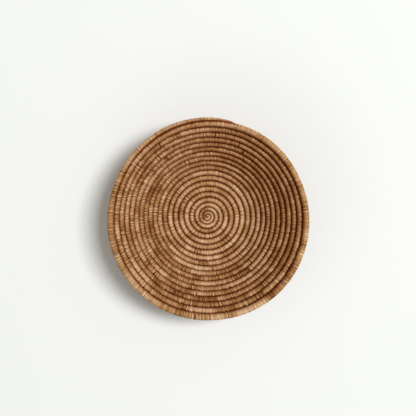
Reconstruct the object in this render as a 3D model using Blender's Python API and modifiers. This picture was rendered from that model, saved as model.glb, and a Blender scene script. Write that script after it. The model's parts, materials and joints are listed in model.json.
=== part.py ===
"""A woven wall plate: one bundle of plant stems, wrapped with raffia and coiled into a shallow bowl.

The bundle starts at the middle and runs outwards in twenty turns, each sewn to the turn before by its own wrapping.
The first turns lie flat on the wall, and the later ones climb into a sloping wall. The last turn tapers to a tail
that is bound down on the rim. A loop of twisted raffia, sewn on behind the upper wall, hangs the plate on a nail.

Metres, +Z up. The wall is the plane y = 0 and the plate faces -Y. The origin is where the coil's axis meets the wall.
"""

import math

import bmesh
import bpy
import numpy as np
from mathutils import Vector


# Driving sizes of the coil, in metres unless the name says otherwise

START_DIAMETER = 0.0031        # the thin raffia strand at the middle
BASE_DIAMETER = 0.0082         # the wrapped coil where it has its full bundle
RIM_DIAMETER = 0.0092          # the wrapped coil at the rim
GROWING_TURNS = 5.5            # turns over which the bundle grows to its full thickness
START_RADIUS = 0.0017          # from the plate's axis to the middle of the strand's first point
TURN_GAP = 0.00055             # between each turn and the next
FLAT_TURNS = 5.4               # turns that lie flat on the wall
BEND_TURNS = 7.5               # turns over which the slope grows to that of the plate's wall
WALL_SLOPE = math.radians(40.5)

WHOLE_TURNS = 20               # whole turns before the tail's own part of a turn
TAIL_ANGLE = math.radians(75.0)     # where the tail ends, from +X towards +Z
TAIL_STEPS = 2.5               # steps of the route past the whole turns to the tail's tip
TAIL_TAPER_TURNS = 0.04        # the part of a turn over which the tail thins
TAIL_TIP_DIAMETER = 0.0031
POINTS_PER_TURN = 24

# Driving sizes of what is inside the coil

STEMS_START_TURN = 3.5         # the turn at which stems are first laid into the raffia
WRAP_WALL = 0.0010             # the wrapped raffia's thickness
STEMS_CLEARANCE = 0.0003       # between the stems and the raffia round them
BORE_OVERRUN = 0.0015          # how far the cutter for the bore passes the tail's tip

# Driving sizes of the hanging loop and its stitches

LOOP_TURN = 15                 # the loop is sewn into the valley between this turn and the next
CORD_DIAMETER = 0.0026
LOOP_LENGTH = 0.040            # from the line of the loop's feet to the middle of the cord at its top
LOOP_HALF_WIDTH = 0.0065       # from the loop's middle to the middle of the cord, at the feet
LOOP_BULGE = 0.45              # how much fuller than half an ellipse the loop is near its middle
LOOP_BEND_RADIUS = 0.0028
FOOT_LENGTH = 0.0046           # the straight part of each foot, under its stitch
LOOP_RISE = math.radians(43.0)      # how steeply the hung loop runs up from its feet to the nail
LOOP_SWING = math.radians(60.0)     # how far the loop can swing each way from square to the plate's wall
SEAT_CLEARANCE = 0.0003        # between the cord, the stitches and the coil
STITCH_WIDTH = 0.0042
STITCH_THICKNESS = 0.0008
STITCH_TUCK = 0.0012           # how far a stitch's ends reach down beside the turns that it binds

# The coil's six-sided section: as deep as it is wide, with its points towards the turns beside it

FLAT_SHARE = 0.5               # width of the flat front and back, as a share of the section's whole width
FACET_TILT = math.atan2(1.0, 1.0 - FLAT_SHARE)      # from the flat to the side that runs down to the point

# Steps in which the curves are drawn, and other values of the making

BEND_STEPS = 4                 # from a foot of the loop to its side
ELLIPSE_STEPS = 18             # round the loop
ARCH_STEPS = 3                 # from a stitch's shoulder to its top
OWN_TURNS = 0.6                # points nearer than this along the coil belong to one stretch of it
WELD_DISTANCE = 0.00001
SHARP_ANGLE = math.radians(40.0)
PLATE = "woven_wall_plate"

# Colours, as linear red, green and blue, and roughness

WRAP_FINISH = ((0.30, 0.14, 0.06), 0.55)
STEMS_FINISH = ((0.42, 0.32, 0.16), 0.80)
CORD_FINISH = ((0.42, 0.26, 0.12), 0.60)
STITCH_FINISH = ((0.36, 0.20, 0.09), 0.55)


def smooth_step(share):
    """Rises from 0 to 1 with level ends."""
    share = min(max(share, 0.0), 1.0)
    return share * share * (3.0 - 2.0 * share)


def quick_rise(share):
    """Rises from 0 to 1, steep at first and level at the end."""
    return 1.5 * share - 0.5 * share ** 3


def last_turn():
    """The number of turns from the strand's first point to the tail's tip."""
    return WHOLE_TURNS + TAIL_STEPS / POINTS_PER_TURN


def coil_diameter(turn):
    """The wrapped coil's diameter: quick growth over the first turns, slow growth after, and a tapered tail."""
    if turn < GROWING_TURNS:
        diameter = START_DIAMETER + (BASE_DIAMETER - START_DIAMETER) * quick_rise(turn / GROWING_TURNS)
    else:
        share = (turn - GROWING_TURNS) / (last_turn() - GROWING_TURNS)
        diameter = BASE_DIAMETER + (RIM_DIAMETER - BASE_DIAMETER) * share
    left = (last_turn() - turn) / TAIL_TAPER_TURNS
    if left < 1.0:
        diameter = TAIL_TIP_DIAMETER + (diameter - TAIL_TIP_DIAMETER) * max(left, 0.0)
    return diameter


def wall_slope(turn):
    """The angle between the plate's wall and the wall of the room at this turn."""
    return WALL_SLOPE * smooth_step((turn - FLAT_TURNS) / BEND_TURNS)


def coil_angle(turn):
    """The direction of the coil's point from the axis. The coil runs clockwise outwards, as seen from the front."""
    return TAIL_ANGLE + 2.0 * math.pi * (last_turn() - turn)


def next_turn_out(inner, inner_turn, outer_turn):
    """Places a point of one turn against the point of the turn before, a radius of each and the gap away.

    Points are (distance from the axis, height off the wall). Both turns keep their backs on one sloping line.
    """
    inner_radius = coil_diameter(inner_turn) / 2.0
    outer_radius = coil_diameter(outer_turn) / 2.0
    step = inner_radius + outer_radius + TURN_GAP
    flush = math.asin((outer_radius - inner_radius) / step)
    direction = wall_slope(outer_turn) + flush
    return inner[0] + step * math.cos(direction), inner[1] + step * math.sin(direction)


def coil_route():
    """The coil's points, as rows of turn, distance from the axis, height off the wall, diameter and slope."""
    turns = [step / POINTS_PER_TURN for step in range(math.floor(last_turn() * POINTS_PER_TURN) + 1)]
    first = (START_RADIUS, coil_diameter(0.0) / 2.0)
    second = next_turn_out(first, 0.0, 1.0)
    places = []
    for index, turn in enumerate(turns):
        if index < POINTS_PER_TURN:
            places.append((first[0] + (second[0] - first[0]) * turn, coil_diameter(turn) / 2.0))
        else:
            places.append(next_turn_out(places[index - POINTS_PER_TURN], turn - 1.0, turn))
    tip = tail_tip(turns, places)
    turns.append(last_turn())
    places.append(tip)
    return [(turn, place[0], place[1], coil_diameter(turn), wall_slope(turn)) for turn, place in zip(turns, places)]


def tail_tip(turns, places):
    """The tip lies between two points of the turn before, so it is seated on the straight line between them."""
    before = math.floor((last_turn() - 1.0) * POINTS_PER_TURN)
    share = (last_turn() - 1.0) * POINTS_PER_TURN - before
    half_step = math.pi / POINTS_PER_TURN
    shrink = math.cos(half_step) / math.cos(half_step * (1.0 - 2.0 * share))
    radius = places[before][0] + (places[before + 1][0] - places[before][0]) * share
    height = places[before][1] + (places[before + 1][1] - places[before][1]) * share
    return next_turn_out((radius * shrink, height), last_turn() - 1.0, last_turn())


def place_on_coil(row):
    """A route row's point, in the plate's own frame, whose z runs along the axis away from the wall."""
    turn, radius, height, _, _ = row
    angle = coil_angle(turn)
    return Vector((radius * math.cos(angle), radius * math.sin(angle), height))


def least_gap(route):
    """The least distance between the surfaces of two stretches of the coil, measured at all the route's points."""
    points = np.array([place_on_coil(row) for row in route])
    radii = np.array([row[3] / 2.0 for row in route])
    turns = np.array([row[0] for row in route])
    apart = np.linalg.norm(points[:, None] - points[None, :], axis=2) - radii[:, None] - radii[None, :]
    own = np.abs(turns[:, None] - turns[None, :]) < OWN_TURNS
    return float(apart[~own].min())


def remove_everything():
    """Empties the scene."""
    for thing in list(bpy.data.objects):
        bpy.data.objects.remove(thing, do_unlink=True)


def make_collection(name):
    """A new collection in the scene."""
    collection = bpy.data.collections.new(name)
    bpy.context.scene.collection.children.link(collection)
    return collection


def make_material(name, finish):
    """A plain dry-fibre material."""
    colour, roughness = finish
    material = bpy.data.materials.new(name)
    material.use_nodes = True
    shader = material.node_tree.nodes["Principled BSDF"]
    shader.inputs["Base Color"].default_value = (colour[0], colour[1], colour[2], 1.0)
    shader.inputs["Roughness"].default_value = roughness
    shader.inputs["Metallic"].default_value = 0.0
    material.diffuse_color = (colour[0], colour[1], colour[2], 1.0)
    return material


def make_tube(name, points, radii, tilts, section, collection, parent):
    """A tube through the points, with its own radius and twist at each.

    section is a curve object that outlines a section of radius 1, or else 0 or 2 for a tube of 4 or 8 sides.
    """
    curve = bpy.data.curves.new(name, "CURVE")
    curve.dimensions = "3D"
    curve.twist_mode = "Z_UP"
    curve.use_fill_caps = True
    if isinstance(section, int):
        curve.bevel_depth = 1.0
        curve.bevel_resolution = section
    else:
        curve.bevel_mode = "OBJECT"
        curve.bevel_object = section
    spline = curve.splines.new("POLY")
    spline.points.add(len(points) - 1)
    for spline_point, point, radius, tilt in zip(spline.points, points, radii, tilts):
        spline_point.co = (point[0], point[1], point[2], 1.0)
        spline_point.radius = radius
        spline_point.tilt = tilt
    tube = bpy.data.objects.new(name, curve)
    tube.parent = parent
    collection.objects.link(tube)
    return tube


def turn_into_mesh(tube, collection):
    """Replaces a curve object by a mesh of the same shape, with its loose caps welded on."""
    bpy.context.view_layer.update()
    evaluated = tube.evaluated_get(bpy.context.evaluated_depsgraph_get())
    mesh = bpy.data.meshes.new_from_object(evaluated)
    mesh.name = tube.name
    editing = bmesh.new()
    editing.from_mesh(mesh)
    bmesh.ops.remove_doubles(editing, verts=editing.verts, dist=WELD_DISTANCE)
    editing.to_mesh(mesh)
    editing.free()
    name = tube.name
    solid = bpy.data.objects.new(name, mesh)
    collection.objects.link(solid)
    solid.matrix_world = tube.matrix_world.copy()
    curve = tube.data
    bpy.data.objects.remove(tube, do_unlink=True)
    bpy.data.curves.remove(curve)
    solid.name = name
    return solid


def make_section(collection):
    """The outline of the coil's section, of radius 1, which its tube is drawn along."""
    curve = bpy.data.curves.new("coil_section", "CURVE")
    curve.dimensions = "2D"
    curve.fill_mode = "NONE"
    spline = curve.splines.new("POLY")
    corners = [(1.0, 0.0), (FLAT_SHARE, -1.0), (-FLAT_SHARE, -1.0), (-1.0, 0.0), (-FLAT_SHARE, 1.0), (FLAT_SHARE, 1.0)]
    spline.points.add(len(corners) - 1)
    for spline_point, corner in zip(spline.points, corners):
        spline_point.co = (corner[0], corner[1], 0.0, 1.0)
    spline.use_cyclic_u = True
    section = bpy.data.objects.new("coil_section", curve)
    section.hide_render = True
    section.display_type = "WIRE"
    collection.objects.link(section)
    return section


def coil_tube(name, route, radii, section, collection, parent):
    """A tube along a stretch of the coil, turned so that its sides follow the slope of the plate's wall."""
    points = [place_on_coil(row) for row in route]
    tilts = [row[4] for row in route]
    return make_tube(name, points, radii, tilts, section, collection, parent)


def bore_radius(diameter):
    """The four-sided bore's radius that leaves the wrapping its full thickness."""
    return diameter / 2.0 - WRAP_WALL


def stems_radius(diameter):
    """The four-sided bundle's radius inside the bore."""
    return bore_radius(diameter) - STEMS_CLEARANCE / math.cos(math.pi / 4.0)


def moved_along(row, towards, distance):
    """A route row moved along the coil by a distance, towards another row or, where negative, away from it."""
    span = (place_on_coil(towards) - place_on_coil(row)).length
    share = distance / span
    return tuple(start + (end - start) * share for start, end in zip(row, towards))


def make_wrap(route, plate, cutters, parent):
    """The raffia wrapping: one unbroken tube round the whole coil, hollow from where the stems begin to the tip."""
    radii = [row[3] / 2.0 for row in route]
    section = make_section(cutters)
    wrap = turn_into_mesh(coil_tube("raffia_wrap", route, radii, section, plate, parent), plate)
    hollow = [row for row in route if row[0] >= STEMS_START_TURN]
    bore_rows = hollow + [moved_along(hollow[-1], hollow[-2], -BORE_OVERRUN)]
    bore_radii = [bore_radius(row[3]) for row in hollow]
    bore_radii.append(bore_radii[-1])
    bore = turn_into_mesh(coil_tube("bore_cutter", bore_rows, bore_radii, 0, cutters, parent), cutters)
    bore.hide_render = True
    bore.display_type = "WIRE"
    cut = wrap.modifiers.new("bore", "BOOLEAN")
    cut.operation = "DIFFERENCE"
    cut.solver = "EXACT"
    cut.object = bore
    return wrap


def make_stems(route, plate, parent):
    """The bundle of plant stems inside the wrapping, from the turn where they are laid in to the start of the tip."""
    stretch = [row for row in route if STEMS_START_TURN <= row[0] < last_turn()]
    stretch[0] = moved_along(stretch[0], stretch[1], STEMS_CLEARANCE)
    radii = [stems_radius(row[3]) for row in stretch]
    return turn_into_mesh(coil_tube("stem_bundle", stretch, radii, 0, plate, parent), plate)


class Valley:
    """The straight valley behind two neighbouring turns, over the middle of the plate's upper wall.

    Its own directions are x across the plate, along, up the slope of the wall, and back, square to the wall.
    """

    def __init__(self, route):
        top_turn = last_turn() - (math.pi / 2.0 - TAIL_ANGLE) / (2.0 * math.pi)
        first = math.floor((top_turn - WHOLE_TURNS + LOOP_TURN) * POINTS_PER_TURN)
        inner = (place_on_coil(route[first]) + place_on_coil(route[first + 1])) / 2.0
        second = first + POINTS_PER_TURN
        outer = (place_on_coil(route[second]) + place_on_coil(route[second + 1])) / 2.0
        radius = max(route[second][3], route[second + 1][3]) / 2.0
        slope = math.atan2(outer.z - inner.z, outer.y - inner.y)
        self.slope = slope
        self.middle = Vector((0.0, (inner.y + outer.y) / 2.0, (inner.z + outer.z) / 2.0))
        self.along = Vector((0.0, math.cos(slope), math.sin(slope)))
        self.back = Vector((0.0, math.sin(slope), -math.cos(slope)))
        half_step = math.hypot(outer.z - inner.z, outer.y - inner.y) / 2.0
        self.flat = radius
        self.near_edge = half_step - radius * FLAT_SHARE
        self.far_edge = half_step + radius * FLAT_SHARE

    def point(self, x, along, back):
        """A place in the plate's frame."""
        return self.middle + Vector((x, 0.0, 0.0)) + self.along * along + self.back * back

    def foot_rise(self):
        """How far behind the valley's middle the cord's feet lie, so that the swung loop clears the flat sides."""
        clear = CORD_DIAMETER / 2.0 + SEAT_CLEARANCE
        return self.flat + (clear - self.near_edge * math.cos(LOOP_SWING)) / math.sin(LOOP_SWING)


def loop_route():
    """The cord's middle line in the loop's own plane: a foot, a bend, a full half ellipse, a bend and a foot."""
    bend_start = LOOP_HALF_WIDTH + LOOP_BEND_RADIUS
    points = [(-bend_start - FOOT_LENGTH, 0.0), (-bend_start - FOOT_LENGTH / 2.0, 0.0)]
    for step in range(BEND_STEPS):
        angle = math.pi / 2.0 * step / BEND_STEPS
        across = -bend_start + LOOP_BEND_RADIUS * math.sin(angle)
        points.append((across, LOOP_BEND_RADIUS * (1.0 - math.cos(angle))))
    for step in range(ELLIPSE_STEPS + 1):
        angle = math.pi * step / ELLIPSE_STEPS
        rise = LOOP_BEND_RADIUS + (LOOP_LENGTH - LOOP_BEND_RADIUS) * math.sin(angle)
        fullness = 1.0 + LOOP_BULGE * math.sin(angle) ** 2
        points.append((-LOOP_HALF_WIDTH * fullness * math.cos(angle), rise))
    mirrored = [(-across, rise) for across, rise in points[BEND_STEPS + 1::-1]]
    return points + mirrored


def make_loop(valley, plate, parent):
    """The hanging loop of twisted raffia, on an empty that stands on the line of its feet."""
    hinge = bpy.data.objects.new("loop_hinge", None)
    hinge.parent = parent
    hinge.location = valley.point(0.0, 0.0, valley.foot_rise())
    hinge.rotation_euler = (LOOP_RISE - math.pi / 2.0, 0.0, 0.0)
    plate.objects.link(hinge)
    points = [(across, rise, 0.0) for across, rise in loop_route()]
    radii = [CORD_DIAMETER / 2.0] * len(points)
    return make_tube("hanging_loop", points, radii, [0.0] * len(points), 2, plate, hinge), hinge


def stitch_line(valley):
    """The stitch's inner line from one tucked end, over the cord's foot, to the other, as (along, back) points."""
    seat = valley.flat + SEAT_CLEARANCE
    corner = valley.far_edge + SEAT_CLEARANCE * math.tan(FACET_TILT / 2.0)
    tucked = (corner + STITCH_TUCK * math.cos(FACET_TILT), seat - STITCH_TUCK * math.sin(FACET_TILT))
    shoulder = valley.near_edge + CORD_DIAMETER / 4.0
    rise = valley.foot_rise()
    reach = CORD_DIAMETER / 2.0 + SEAT_CLEARANCE
    distance = math.hypot(shoulder, seat - rise)
    start = math.atan2(seat - rise, shoulder) + math.acos(reach / distance)
    half = [tucked, (corner, seat), (shoulder, seat)]
    for step in range(ARCH_STEPS):
        angle = start + (math.pi / 2.0 - start) * step / ARCH_STEPS
        half.append((reach * math.cos(angle), rise + reach * math.sin(angle)))
    top = [(0.0, rise + reach)]
    return half + top + [(-along, back) for along, back in reversed(half)]


def make_stitch(name, side, valley, plate, parent):
    """A stitch of raffia that holds one foot of the loop down across two turns. side is -1 or 1."""
    middle = side * (LOOP_HALF_WIDTH + LOOP_BEND_RADIUS + FOOT_LENGTH / 2.0)
    editing = bmesh.new()
    start = middle - STITCH_WIDTH / 2.0
    corners = [editing.verts.new(valley.point(start, along, back)) for along, back in stitch_line(valley)]
    edges = [editing.edges.new(pair) for pair in zip(corners[:-1], corners[1:])]
    widened = bmesh.ops.extrude_edge_only(editing, edges=edges)
    moved = [item for item in widened["geom"] if isinstance(item, bmesh.types.BMVert)]
    bmesh.ops.translate(editing, verts=moved, vec=(STITCH_WIDTH, 0.0, 0.0))
    for face in editing.faces:
        face.normal_update()
        if face.normal.dot(face.calc_center_median() - valley.middle) < 0.0:
            face.normal_flip()
    mesh = bpy.data.meshes.new(name)
    editing.to_mesh(mesh)
    editing.free()
    stitch = bpy.data.objects.new(name, mesh)
    stitch.parent = parent
    plate.objects.link(stitch)
    wall = stitch.modifiers.new("thickness", "SOLIDIFY")
    wall.thickness = STITCH_THICKNESS
    wall.offset = 1.0
    wall.use_even_offset = True
    return stitch


def shade(thing):
    """Smooth shading, with the sharper edges kept."""
    thing.data.shade_smooth()
    thing.data.set_sharp_from_angle(angle=SHARP_ANGLE)


def main():
    """Builds the plate and prints what a reader would want to check."""
    remove_everything()
    plate = make_collection(PLATE)
    cutters = make_collection("cutters")
    axis = bpy.data.objects.new("plate_axis", None)
    axis.rotation_euler = (math.pi / 2.0, 0.0, 0.0)
    plate.objects.link(axis)

    route = coil_route()
    wrap = make_wrap(route, plate, cutters, axis)
    stems = make_stems(route, plate, axis)
    valley = Valley(route)
    loop, hinge = make_loop(valley, plate, axis)
    left = make_stitch("loop_stitch_left", -1, valley, plate, axis)
    right = make_stitch("loop_stitch_right", 1, valley, plate, axis)

    wrap.data.materials.append(make_material("wrapping raffia", WRAP_FINISH))
    stems.data.materials.append(make_material("dry plant stems", STEMS_FINISH))
    loop.data.materials.append(make_material("twisted raffia", CORD_FINISH))
    left.data.materials.append(make_material("left stitch raffia", STITCH_FINISH))
    right.data.materials.append(make_material("right stitch raffia", STITCH_FINISH))
    shade(wrap)
    shade(stems)

    bpy.context.view_layer.update()
    print("coil's least gap to itself:", round(least_gap(route) * 1000.0, 3), "mm")
    length = sum((place_on_coil(b) - place_on_coil(a)).length for a, b in zip(route[:-1], route[1:]))
    print("coil's length:", round(length, 3), "m in", round(last_turn(), 3), "turns")
    print("loop's hinge:", [round(value, 5) for value in hinge.matrix_world.translation], "axis +X")
    low = math.degrees(valley.slope - LOOP_SWING - LOOP_RISE)
    high = math.degrees(valley.slope + LOOP_SWING - LOOP_RISE)
    print("loop's swing from as hung:", round(low, 1), "to", round(high, 1), "degrees")


main()
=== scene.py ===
"""Dresses the woven wall plate: raffia strips wound round a coil of plant stems, and the sewn hanging loop behind it.

Metres, +Z up. The wall of the room is the plane y = 0 and the plate faces -Y. Most places are worked out in the
plate's own frame, as x, up and height off the wall, and turned into the world's at the end.
"""

import json
import logging
import math
from dataclasses import dataclass, field
from enum import Enum

import bpy
import numpy as np
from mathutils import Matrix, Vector


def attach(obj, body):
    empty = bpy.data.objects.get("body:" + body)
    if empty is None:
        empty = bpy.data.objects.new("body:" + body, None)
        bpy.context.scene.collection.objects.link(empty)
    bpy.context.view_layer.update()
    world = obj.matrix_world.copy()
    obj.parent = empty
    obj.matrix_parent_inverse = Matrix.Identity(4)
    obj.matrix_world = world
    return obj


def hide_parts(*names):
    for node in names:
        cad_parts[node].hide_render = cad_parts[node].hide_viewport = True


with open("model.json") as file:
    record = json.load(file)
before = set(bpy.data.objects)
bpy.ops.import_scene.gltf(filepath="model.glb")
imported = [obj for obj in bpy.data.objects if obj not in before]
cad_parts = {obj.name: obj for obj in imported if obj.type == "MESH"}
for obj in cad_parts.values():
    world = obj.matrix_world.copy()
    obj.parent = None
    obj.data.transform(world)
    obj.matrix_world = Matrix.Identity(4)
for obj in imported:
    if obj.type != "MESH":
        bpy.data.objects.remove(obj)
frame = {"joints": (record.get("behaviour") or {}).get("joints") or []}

LOG = logging.getLogger("wall_plate")
TAU = 2.0 * math.pi
ACROSS = np.array([1.0, 0.0, 0.0])

Colour = tuple[float, float, float, float]
WHITE: Colour = (1.0, 1.0, 1.0, 1.0)


class Body(Enum):
    """The bodies of the plate that move as one."""

    PLATE = "plate"
    LOOP = "loop"


class Slot(Enum):
    """The record's material slots."""

    WRAPPING = "wrapping_raffia"
    STEMS = "plant_stems"
    CORD = "twisted_raffia"
    STITCH = "stitch_raffia"


class Side(Enum):
    """The two feet of the hanging loop, as the sign of x."""

    LEFT = -1
    RIGHT = 1


def into_world(places: np.ndarray) -> np.ndarray:
    """Turns rows of x, up and height off the wall into the world's x, y and z."""
    return np.stack([places[..., 0], -places[..., 2], places[..., 1]], axis=-1)


def smooth_step(share: np.ndarray) -> np.ndarray:
    """Rises from 0 to 1 with level ends, as 3 s squared less 2 s cubed."""
    share = np.clip(share, 0.0, 1.0)
    return share * share * (3.0 - 2.0 * share)


def rounded_end(left: np.ndarray, least: float) -> np.ndarray:
    """Falls as a quarter circle from 1, where 1 or more of an end's length is left, to the root of the least."""
    return np.sqrt(np.clip(1.0 - (1.0 - np.clip(left, 0.0, 1.0)) ** 2, least, 1.0))


def wander(rng: np.random.Generator, places: np.ndarray, spacing: float) -> np.ndarray:
    """Smooth noise along a line: random heights a fixed spacing apart, joined by smooth steps.

    Args:
        rng: where the heights are drawn from.
        places: where the noise is wanted, from 0 upwards, in the unit of the spacing.
        spacing: the distance between two heights.

    Returns:
        The noise at each place, between -1 and 1.
    """
    cells = places / spacing
    heights = rng.uniform(-1.0, 1.0, int(cells.max()) + 3)
    cell = np.clip(np.floor(cells).astype(int), 0, len(heights) - 2)
    return heights[cell] + (heights[cell + 1] - heights[cell]) * smooth_step(cells - cell)


def round_angles(count: int) -> np.ndarray:
    """As many directions evenly round a circle, from 0 up."""
    return TAU * np.arange(count) / count


def angle_off(angle: np.ndarray, middle: float) -> np.ndarray:
    """How far directions lie from a middle one, up to half a turn either way."""
    return np.angle(np.exp(1j * (angle - middle)))


# Meshes


def chart_of(along: np.ndarray, angle: np.ndarray) -> np.ndarray:
    """A tube's surface coordinates: the given place along it, and the share of the way round."""
    return np.stack(np.broadcast_arrays(along, (angle / TAU)[None, :]), axis=-1)


def next_round(chart: np.ndarray) -> np.ndarray:
    """Steps one point on round each ring. The last point's next one is a whole round on.

    Args:
        chart: the two surface coordinates of each point.

    Returns:
        Those of the point after each.
    """
    beside = np.roll(chart, -1, axis=-2)
    beside[..., -1, 1] += 1.0
    return beside


@dataclass(frozen=True)
class BakeSheet:
    """How a wound tube is laid flat, so that each of its strips has a patch of its own.

    The sheet is a unit square of equal rows. A row holds a whole number of strips, which follow each other along it,
    and the way round the tube runs up it. The inner faces share one thin row at the top.
    """

    first_strip: int
    last_strip: int
    rows: int = 8
    margin: float = 0.05
    inner_row: float = 0.03
    inner_share: float = 0.4

    def spots(self, charts: np.ndarray, inside: bool) -> np.ndarray:
        """The place on the sheet of each corner of some faces.

        Args:
            charts: for each face and corner, the strip's number and the share of the way round.
            inside: whether these are inner faces.

        Returns:
            The two sheet coordinates of each corner.
        """
        strips = self.last_strip - self.first_strip
        counted = charts[..., 0] - self.first_strip
        if inside:
            up = 1.0 - self.inner_row * (0.5 + self.inner_share * (charts[..., 1] - 0.5))
            return np.stack([np.clip(counted / strips, 0.0, 1.0), up], axis=-1)
        each = math.ceil(strips / self.rows)
        row = np.clip(np.floor(counted.mean(axis=1, keepdims=True) / each), 0, self.rows - 1)
        along = np.clip((counted - row * each) / each, 0.0, 1.0)
        share = self.margin + (1.0 - 2.0 * self.margin) * np.clip(charts[..., 1], 0.0, 1.0)
        return np.stack([along, (row + share) / self.rows * (1.0 - self.inner_row)], axis=-1)


@dataclass
class Surface:
    """Collects closed tubes as arrays, and puts them into one mesh.

    A tube is a grid of rings. Each of its faces joins two rings that follow each other and two points that follow
    each other round a ring. Each end closes on one point or, where the tube has a wall, on its inner face.
    """

    sheet: BakeSheet | None = None
    points: list[np.ndarray] = field(default_factory=list)
    faces: list[np.ndarray] = field(default_factory=list)
    charts: list[np.ndarray] = field(default_factory=list)
    sheets: list[np.ndarray] = field(default_factory=list)
    values: dict[str, list[np.ndarray]] = field(default_factory=dict)
    count: int = 0

    def add_points(self, places: np.ndarray, values: dict[str, np.ndarray | float]) -> np.ndarray:
        """Keeps some points.

        Args:
            places: the points, in the world's frame.
            values: their named numbers, one for all of them or one for each.

        Returns:
            The points' indices, in the same shape.
        """
        shape = places.shape[:-1]
        index = self.count + np.arange(math.prod(shape)).reshape(shape)
        self.count += index.size
        self.points.append(places.reshape(-1, 3))
        for name, given in values.items():
            self.values.setdefault(name, []).append(np.broadcast_to(given, shape).reshape(-1))
        return index

    def add_faces(self, faces: np.ndarray, charts: np.ndarray, turned: bool, inside: bool = False) -> None:
        """Keeps some faces.

        Args:
            faces: the indices of each face's corners.
            charts: the two surface coordinates at each corner.
            turned: whether the faces are turned over first.
            inside: whether they lie in the sheet's row of inner faces.
        """
        order = -1 if turned else 1
        self.faces.append(faces[:, ::order])
        self.charts.append(charts[:, ::order])
        if self.sheet:
            self.sheets.append(self.sheet.spots(self.charts[-1], inside))

    def rings(
        self, grid: np.ndarray, chart: np.ndarray, inwards: bool = False, **values: np.ndarray | float
    ) -> np.ndarray:
        """Adds the points and side faces of one tube.

        Args:
            grid: places as rings by points round each ring by 3, in the world's frame.
            chart: the surface's own two coordinates at each point, of which the second runs from 0 to 1 round a ring.
            inwards: whether the faces look into the tube, as those of a bore do.
            values: named numbers, one for all the points or one for each.

        Returns:
            The index of each point, as rings by points round each ring.
        """
        index = self.add_points(grid, values)
        following = np.roll(index, -1, axis=1)
        beside = next_round(chart)
        quads = np.stack([index[:-1], index[1:], following[1:], following[:-1]], axis=-1).reshape(-1, 4)
        spots = np.stack([chart[:-1], chart[1:], beside[1:], beside[:-1]], axis=-2).reshape(-1, 4, 2)
        self.add_faces(quads, spots, turned=inwards, inside=inwards)
        return index

    def shut(self, ring: np.ndarray, places: np.ndarray, chart: np.ndarray, first: bool, **values: float) -> None:
        """Closes a tube's end with a fan of triangles to a point at the middle of its ring.

        Args:
            ring: the indices of the end's ring.
            places: the ring's places.
            chart: the two surface coordinates at each point of the ring.
            first: whether this is the tube's first ring, whose fan runs the other way round.
            values: the named numbers at the middle point.
        """
        pole = self.add_points(places.mean(axis=0)[None, :], values)
        beside = next_round(chart)
        middle = np.stack([chart[:, 0], (chart[:, 1] + beside[:, 1]) / 2.0], axis=-1)
        fan = np.stack([ring, np.roll(ring, -1), np.full_like(ring, pole[0])], axis=-1)
        self.add_faces(fan, np.stack([chart, beside, middle], axis=-2), turned=not first)

    def tube(
        self, grid: np.ndarray, chart: np.ndarray, pole: dict[str, float], inwards: bool = False,
        **values: np.ndarray | float
    ) -> None:
        """Adds one tube with both its ends shut.

        Args:
            grid: its places, as for its rings.
            chart: its surface coordinates, as for its rings.
            pole: the named numbers at the middle point of each end.
            inwards: whether its rings run so that its faces have to be turned over.
            values: the named numbers of its points, as for its rings.
        """
        ring = self.rings(grid, chart, inwards, **values)
        for end in (0, -1):
            self.shut(ring[end], grid[end], chart[end], (end == 0) != inwards, **pole)

    def bridge(self, outer: np.ndarray, inner: np.ndarray, chart: np.ndarray, first: bool) -> None:
        """Joins a tube's end to the end of its bore by a flat ring of faces.

        Args:
            outer: the indices of the outer ring.
            inner: the indices of the bore's ring, as many.
            chart: the two surface coordinates at each point of the outer ring.
            first: whether this is the tube's first end.
        """
        beside = next_round(chart)
        half_strip = np.array([0.5 if first else -0.5, 0.0])
        quads = np.stack([inner, outer, np.roll(outer, -1), np.roll(inner, -1)], axis=-1)
        spots = np.stack([chart + half_strip, chart, beside, beside + half_strip], axis=-2)
        self.add_faces(quads, spots, turned=not first, inside=True)

    def mesh(self, name: str) -> bpy.types.Mesh:
        """Puts all that was collected into a mesh.

        Args:
            name: the mesh's name.

        Returns:
            The new mesh, with smooth faces, its surface coordinates and its values.
        """
        corners = np.concatenate([part.reshape(-1) for part in self.faces])
        sizes = np.concatenate([np.full(len(part), part.shape[1]) for part in self.faces])
        made = bpy.data.meshes.new(name)
        made.vertices.add(self.count)
        made.vertices.foreach_set("co", np.concatenate(self.points).astype(np.float32).reshape(-1))
        made.loops.add(len(corners))
        made.loops.foreach_set("vertex_index", corners.astype(np.int32))
        made.polygons.add(len(sizes))
        made.polygons.foreach_set("loop_start", (np.cumsum(sizes) - sizes).astype(np.int32))
        made.update(calc_edges=True)
        made.polygons.foreach_set("use_smooth", np.ones(len(sizes), bool))
        maps = {"strips": self.charts}
        if self.sheet:
            maps["OFBake"] = self.sheets
        for map_name, parts in maps.items():
            layer = made.uv_layers.new(name=map_name)
            layer.data.foreach_set("uv", np.concatenate([part.reshape(-1) for part in parts]).astype(np.float32))
        for value_name, given in self.values.items():
            attribute = made.attributes.new(value_name, "FLOAT", "POINT")
            attribute.data.foreach_set("value", np.concatenate(given).astype(np.float32))
        made.validate()
        return made

    def place(self, name: str, material: bpy.types.Material, body: Body, slot: Slot, node: str) -> None:
        """Makes the finished piece, hangs it on its body, logs that, and hides the solid that it stands for.

        Args:
            name: the piece's name.
            material: its finish.
            body: the body that it moves with.
            slot: the material slot that it takes its finish from; not used.
            node: the solid that it stands for.
        """
        mesh = self.mesh(name)
        mesh.materials.append(material)
        piece = bpy.data.objects.new(name, mesh)
        bpy.context.scene.collection.objects.link(piece)
        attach(piece, body.value)
        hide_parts(node)
        LOG.info("%s: %d faces, rides on %s", name, len(mesh.polygons), body.value)


# Finishes


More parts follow.
